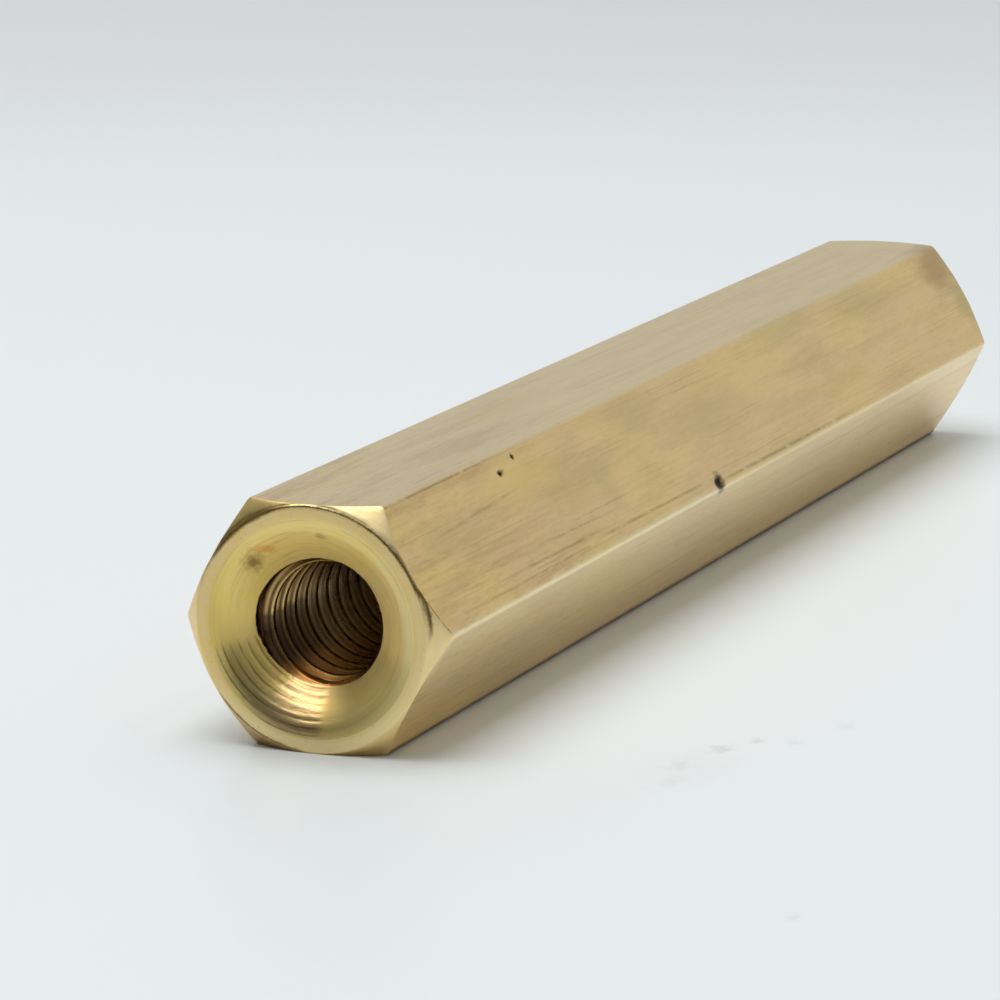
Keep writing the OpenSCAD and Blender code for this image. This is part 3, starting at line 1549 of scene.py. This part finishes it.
@dataclass(frozen=True)
class TurnedCountersink(Finish):
    """The countersinks: golden, with the arcs of chatter that their tool left, and painted light and
    shade on some sides.

    Attributes:
        chatter: The arcs.
        tints: What tones they take on each side, with painted light and painted shade among them.
        stains: Brown patches in them.
    """

    chatter: Chatter = Chatter()
    # Painted light at the top (lemon at 110) and on the right (bright at 186); painted shade at the
    # bottom (brown at 276) and lower right (olive at 228). The yellow tints are tones of the brass.
    tints: tuple[Tint, ...] = (
        Tint(Tone.YELLOW, 0.0, 50.0, 50.0, 0.5),
        Tint(Tone.YELLOW, 240.0, 50.0, 40.0, 0.35),
        Tint(Tone.LEMON, 110.0, 80.0, 50.0, 0.45),
        Tint(Tone.BRIGHT, 186.0, 48.0, 40.0, 0.3),
        Tint(Tone.BROWN, 276.0, 18.0, 16.0, 0.2),
        Tint(Tone.OLIVE, 228.0, 28.0, 24.0, 0.6),
    )
    stains: tuple[Stain, ...] = (
        Stain((-24.72, 1.85, 5.25), (0.5, 0.42, 0.5), Tone.BROWN, 0.5),
        Stain((-24.72, 1.80, 5.2), (0.5, 0.2, 0.25), Tone.DIRT, 0.5),
        Stain((-24.72, 1.45, 5.62), (0.5, 0.5, 0.16), Tone.COPPER, 0.5),
        Stain((-24.9, -0.3, 6.1), (0.4, 0.24, 0.13), Tone.BROWN, 0.45),
    )

    def material(self) -> bpy.types.Material:
        """Draw the material of the countersinks.

        Returns:
            The material.
        """
        coat = Coat("countersinks", self.bar, Tone.GOLDEN)
        at = coat.at
        arcs = self.chatter
        turning = coat.graph.noise(at.turned_rings(12.0), 1.0, 4.0, 0.65)
        cloudy = coat.noise(1.1, 4.0, 0.6)
        speck = coat.noise(6.0, 4.0, 0.65)
        window = at.towards(arcs.centre, arcs.reach, 8.0)
        angle = coat.graph.math("ARCTAN2", at.sine, at.cosine)
        turned = angle - math.radians(arcs.centre - 360.0)
        waves = at.radius * (FULL_TURN / arcs.spacing) + turned * arcs.drift
        valleys = waves.wave().rise(0.45, 0.95) * turning.rise(0.35, 0.55) * window

        coat.lay(cloudy.rise(0.35, 0.65) * 0.7, Tone.BARE)
        for tint in self.tints:
            coat.tint(tint)
        coat.lay(turning.rise(0.5, 0.72) * 0.5, Tone.OLIVE)
        # Painted shade: olive laid over the outer part of the arcs in the lower left.
        smeared = window * at.radius.rise(2.35, 2.6) * at.towards(318.0, 24.0)
        coat.lay(smeared * (0.25 + speck * 0.6), Tone.OLIVE)
        # A rosy tone at the lower end of the arcs, partly a painted highlight.
        coat.lay(window * at.towards(282.0, 20.0) * (0.2 + speck * 0.6), Tone.ROSY)
        coat.lay(valleys * 0.6, Tone.DIRT)
        for stain in self.stains:
            coat.stain(stain, (speck - 0.5) * 1.5)

        matt = at.towards(130.0, 95.0, 50.0) * 0.27 + at.towards(182.0, 60.0, 40.0) * 0.16
        deeper = at.radius.rise(self.face_radius - 0.4, self.face_radius - 1.0)
        roughness = 0.47 + matt * deeper + (turning - 0.5) * 0.15 - window * 0.14
        return coat.complete(roughness, turning * 0.006 + speck * (0.001 + window * 0.008))


@dataclass(frozen=True)
class TappedBore(Finish):
    """The tapped holes: dark and oily, with crests partly painted as highlights, painted shade on one
    side near the mouth, painted warm light on the lower side and painted light deeper in.

    Attributes:
        thread: The thread in them.
        painted_warm_light: A painted warm light on the lower side of them.
    """

    thread: Thread
    painted_warm_light: Tint = Tint(Tone.COPPER, 268.0, 38.0, 30.0, 0.6)

    def material(self) -> bpy.types.Material:
        """Draw the material of the holes.

        Returns:
            The material.
        """
        coat = Coat("tapped_holes", self.bar, Tone.UMBER)
        graph, at = coat.graph, coat.at
        patches = coat.noise(1.6, 4.0, 0.6)
        cuts = graph.noise(graph.combine(at.radius * 20.0, at.sine, at.cosine), 1.0, 3.0, 0.6)
        cut = at.radius - self.thread.drill_radius
        crest = cut.rise(0.09, 0.03)
        ridge = cut.rise(0.13, 0.16) * cut.rise(0.25, 0.2)
        root = cut.rise(0.15, self.thread.major_radius - self.thread.drill_radius)
        # Painted shade on the lower left, near the mouth.
        shade = at.towards(322.0, 41.0, 7.0) * at.below.rise(5.0, 2.5)

        coat.lay(patches.rise(0.35, 0.65) * 0.6, Tone.OILY)
        # Painted light: lighter deeper in the hole.
        coat.lay(at.below.rise(2.0, 6.0) * 0.3, Tone.HAZY)
        coat.lay(cuts.rise(0.46, 0.60) * 0.55, Tone.BROWN)
        coat.lay(cuts.rise(0.46, 0.34) * 0.45, Tone.GRIME)
        coat.lay(shade * 0.78, Tone.UMBER)
        # Painted warm light on the lower side.
        coat.tint(self.painted_warm_light)
        # Crests and ridges lighter, partly polished brass and partly a painted highlight, dimmed
        # under the painted shade.
        coat.lay((crest * 0.75 + ridge * 0.35) * (1.0 - shade * 0.78), Tone.GOLDEN)
        coat.lay(root * 0.3, Tone.GRIME)
        return coat.complete(0.28 + (patches - 0.5) * 0.1, patches * 0.004 + cuts * 0.01)


@dataclass
class Standoff:
    """The whole standoff, in one piece.

    Attributes:
        bar: The bar that it is made from.
        thread: The thread at both ends.
        marks: The pits and the dent in its skin.
        chamfer_room: Length at each end that is left for the chamfer.
        body_rings: How many rings of points the bar has between its ends.
        mark_rings: How many more it has at each mark.
        closest_rings: Rings that would lie closer together than this are left out.
        far_burr: The uneven line of the far end's burrs.
    """

    bar: HexBar
    thread: Thread
    marks: tuple[Mark, ...] = (
        Mark((-15.78, -2.17, 6.74), (0.10, 0.09, 0.09), 0.10),
        Mark((-16.96, -2.31, 6.49), (0.22, 0.09, 0.09), 0.12),
        Mark((-3.31, -3.97, 3.66), (0.42, 0.25, 0.22), 0.14),
    )
    chamfer_room: float = 0.75
    body_rings: int = 26
    mark_rings: int = 9
    closest_rings: float = 0.02
    far_burr: Ripple = Ripple(23)

    @classmethod
    def from_frame(cls, frame: Mapping[str, object]) -> Standoff:
        """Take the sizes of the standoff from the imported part.


        Returns:
            The standoff.
        """
        low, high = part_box("standoff")
        bar = HexBar((high.z - low.z) / MILLIMETRE, (high.x - low.x) / MILLIMETRE)
        mounts = {mount["name"]: mount for mount in frame["record"]["mounts"]}
        return cls(bar, Thread(mounts["thread_left"]["dims"]["r_mm"]))

    def body_rows(self) -> np.ndarray:
        """Spread rings of points along the bar, close together at each mark.

        Returns:
            Their places along X, from the near end to the far end.
        """
        half = self.bar.length / 2.0 - self.chamfer_room
        coarse = np.linspace(-half, half, self.body_rings)
        across = np.linspace(-1.0, 1.0, self.mark_rings)
        fine = [mark.place[0] + mark.reach[0] * across for mark in self.marks]
        rows = np.unique(np.round(np.concatenate([coarse, *fine]), 3))
        return rows[np.concatenate([[True], np.diff(rows) > self.closest_rings])]

    def weave_body(self, skin: Skin, near: np.ndarray, far: np.ndarray) -> None:
        """Weave the drawn bar between its two ends, and press the marks into it.

        Args:
            skin: The skin to add to.
            near: The last ring of the near end.
            far: The last ring of the far end, which runs round the other way.
        """
        angles = self.bar.angles()
        radius = self.bar.radius(angles)
        inward = np.stack([0 * angles, -np.cos(angles), -np.sin(angles)], axis=-1)
        ring = near
        for along in self.body_rows():
            next_ring = skin.ring(along, radius, angles)
            points = skin.points[-1]
            skin.points[-1] = points + sum(mark.press(points, inward) for mark in self.marks)
            skin.bridge(ring, next_ring, Surface.FLATS)
            ring = next_ring
        turned = math.pi - angles
        order = [int(np.argmin(np.abs(angle_between(turned, math.degrees(a))))) for a in angles]
        skin.bridge(ring, far[order], Surface.FLATS)

    def build(self) -> bpy.types.Object:
        """Build the standoff's mesh, dress it, and tie it to the frame.

        Returns:
            The one piece.
        """
        skin = Skin(self.bar.apothem)
        ends = [
            TappedEnd(End.NEAR, self.bar, self.thread),
            TappedEnd(End.FAR, self.bar, self.thread, ripple=self.far_burr),
        ]
        near, far = [end.weave(skin) for end in ends]
        self.weave_body(skin, near, far)
        face_radius = ends[0].face_radius
        finishes = {
            Surface.FLATS: DrawnFlats(self.bar, face_radius),
            Surface.CHAMFER: TurnedChamfer(self.bar, face_radius),
            Surface.FACE: TurnedFace(self.bar, face_radius),
            Surface.COUNTERSINK: TurnedCountersink(self.bar, face_radius),
            Surface.THREAD: TappedBore(self.bar, face_radius, self.thread),
        }
        materials = [finishes[surface].material() for surface in Surface]
        piece = skin.object("brass_standoff", materials)
        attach(piece, "root")
        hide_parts("standoff")
        return piece


@dataclass(frozen=True)
class Smudge:
    """A faint grey mark on the table.

    Attributes:
        place: Its middle, in millimetres.
        reach: Half its length along X and Y, and any height.
        strength: How grey it is, from 0 to 1.
    """

    place: Triple
    reach: Triple
    strength: float


@dataclass
class Studio:
    """The table, the lights and the camera.

    Attributes:
        bar: The bar that lies on the table.
        table_radius: Radius of the round table top, in millimetres.
        table: Colour of the table near the bar.
        table_far: Colour of the table far from it.
        table_fade: Distances from the bar between which the one becomes the other.
        softbox_power: Power of the softbox, in watts.
        softbox_size: Length and width of the softbox, in millimetres.
        softbox_place: Where the softbox is, in millimetres.
        bright_side: Direction towards the bright side of the room, past the far end.
        room: Stops for the light of the room, from its dim side to its bright side.
        backdrop: Colour of the room where the camera sees it.
        smudges: Faint marks on the table beside the bar.
        smudged: Their colour.
        lens: Focal length of the camera, in millimetres.
        sensor: Width of its sensor, in millimetres.
        nearest: How close to the camera things still show, in metres.
        view_turns: Azimuth, elevation and roll of the camera, in degrees.
        eye: Where it is from the foot of the near end, in widths across the flats.
    """

    bar: HexBar
    table_radius: float = 900.0
    table: Triple = (0.905, 0.93, 0.94)
    table_far: Triple = (0.88, 0.90, 0.90)
    table_fade: tuple[float, float] = (85.0, 150.0)
    softbox_power: float = 1.4
    softbox_size: tuple[float, float] = (335.0, 385.0)
    softbox_place: Triple = (-48.0, 88.0, 400.0)
    bright_side: Triple = (0.949, -0.316, 0.0)
    room: tuple[tuple[float, Triple], ...] = (
        (0.0, (0.26, 0.26, 0.27)),
        (0.15, (0.38, 0.38, 0.39)),
        (0.3, (0.49, 0.49, 0.50)),
        (0.42, (0.60, 0.60, 0.60)),
        (0.66, (0.79, 0.79, 0.79)),
        (1.0, (0.81, 0.81, 0.80)),
    )
    backdrop: Triple = (0.86, 0.88, 0.88)
    smudges: tuple[Smudge, ...] = (
        Smudge((-20.7, -10.4, 0.0), (0.5, 0.42, 1.0), 0.3),
        Smudge((-19.6, -11.0, 0.0), (0.4, 0.25, 1.0), 0.25),
        Smudge((-19.4, -12.1, 0.0), (0.4, 0.3, 1.0), 0.11),
        Smudge((-24.4, -10.3, 0.0), (0.7, 0.3, 1.0), 0.09),
        Smudge((-22.8, -9.9, 0.0), (0.7, 0.35, 1.0), 0.1),
        Smudge((-23.0, -10.3, 0.0), (2.6, 1.5, 1.0), 0.06),
        Smudge((-17.3, -12.85, 0.0), (0.5, 0.35, 1.0), 0.1),
        Smudge((-35.1, -17.5, 0.0), (0.4, 0.22, 1.0), 0.12),
    )
    smudged: Triple = (0.55, 0.57, 0.58)
    lens: float = 167.7
    sensor: float = 36.0
    nearest: float = 0.01
    view_turns: Triple = (-66.93, 11.78, -0.87)
    eye: Triple = (-16.0219, -7.6388, 4.7066)

    def build_table(self) -> bpy.types.Object:
        """Build the round table top that the standoff lies on.

        Returns:
            The table top.
        """
        mesh = bpy.data.meshes.new("table")
        disc = bmesh.new()
        radius = self.table_radius * MILLIMETRE
        bmesh.ops.create_circle(disc, cap_ends=True, segments=96, radius=radius)
        disc.to_mesh(mesh)
        disc.free()
        table = bpy.data.objects.new("table", mesh)
        bpy.context.scene.collection.objects.link(table)
        material = bpy.data.materials.new("table_top")
        graph = Graph(material)
        place = graph.place()
        along, across, _ = graph.split(place)
        away = (along * along + across * across).root()
        colour = graph.mix(away.rise(*self.table_fade), self.table, self.table_far)
        ragged = (graph.noise(place, 3.0, 4.0, 0.65) - 0.5) * 2.4
        for smudge in self.smudges:
            size = graph.away(place, smudge.place, smudge.reach)
            amount = (size + ragged).rise(1.2, -0.2) * smudge.strength
            colour = graph.mix(amount, colour, self.smudged)
        sockets = {"Base Color": colour, "Roughness": 0.4, "Specular IOR Level": 0.35}
        shader = graph.node("ShaderNodeBsdfPrincipled", None, sockets)["BSDF"]
        graph.node("ShaderNodeOutputMaterial", None, {"Surface": shader})
        mesh.materials.append(material)
        return table

    def build_softbox(self) -> bpy.types.Object:
        """Hang the softbox over the bar, facing straight down.

        Returns:
            The softbox.
        """
        lamp = bpy.data.lights.new("softbox", "AREA")
        lamp.energy = self.softbox_power
        lamp.shape = "RECTANGLE"
        lamp.size, lamp.size_y = (size * MILLIMETRE for size in self.softbox_size)
        softbox = bpy.data.objects.new("softbox", lamp)
        softbox.location = Vector(self.softbox_place) * MILLIMETRE
        bpy.context.scene.collection.objects.link(softbox)
        return softbox

    def build_room(self) -> bpy.types.World:
        """Light the scene from a room that is bright on one side and dim on the other.

        Returns:
            The room, as a world.
        """
        world = bpy.data.worlds.new("room")
        bpy.context.scene.world = world
        graph = Graph(world)
        direction = graph.node("ShaderNodeTexCoord")["Generated"]
        facing = graph.measure("DOT_PRODUCT", direction, self.bright_side)
        sockets = {"Fac": facing * 0.5 + 0.5}
        glow = graph.node("ShaderNodeValToRGB", {"stops": self.room}, sockets)["Color"]
        seen = graph.node("ShaderNodeLightPath")["Is Camera Ray"]
        colour = graph.mix(seen, glow, self.backdrop)
        shader = graph.node("ShaderNodeBackground", None, {"Color": colour})["Background"]
        graph.node("ShaderNodeOutputWorld", None, {"Surface": shader})
        return world

    def build_camera(self) -> bpy.types.Object:
        """Set up the camera, low and close to the axis of the bar at its near end.

        Returns:
            The camera.
        """
        view = bpy.data.cameras.new("camera")
        view.lens = self.lens
        view.sensor_width = self.sensor
        view.clip_start = self.nearest
        camera = bpy.data.objects.new("camera", view)
        azimuth, elevation, roll = (math.radians(turn) for turn in self.view_turns)
        level = math.cos(elevation)
        back = Vector((math.sin(azimuth) * level, -math.cos(azimuth) * level, math.sin(elevation)))
        near_foot = Vector((-self.bar.length / 2.0, 0.0, 0.0))
        place = (near_foot + Vector(self.eye) * self.bar.across_flats) * MILLIMETRE
        turn = back.to_track_quat("Z", "Y").to_matrix().to_4x4() @ Matrix.Rotation(roll, 4, "Z")
        camera.matrix_world = Matrix.Translation(place) @ turn
        bpy.context.scene.collection.objects.link(camera)
        bpy.context.scene.camera = camera
        return camera


def main() -> None:
    """Build the standoff and its studio, and report each piece."""
    logging.basicConfig(level=logging.INFO, format="%(name)s: %(message)s")
    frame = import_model()
    standoff = Standoff.from_frame(frame)
    piece = standoff.build()
    LOG.info("%s: %d faces", piece.name, len(piece.data.polygons))
    studio = Studio(standoff.bar)
    for made in (
        studio.build_table(),
        studio.build_softbox(),
        studio.build_room(),
        studio.build_camera(),
    ):
        LOG.info("%s is ready", made.name)
    bpy.context.scene.view_settings.view_transform = "Standard"


if __name__ == "__main__":
    main()
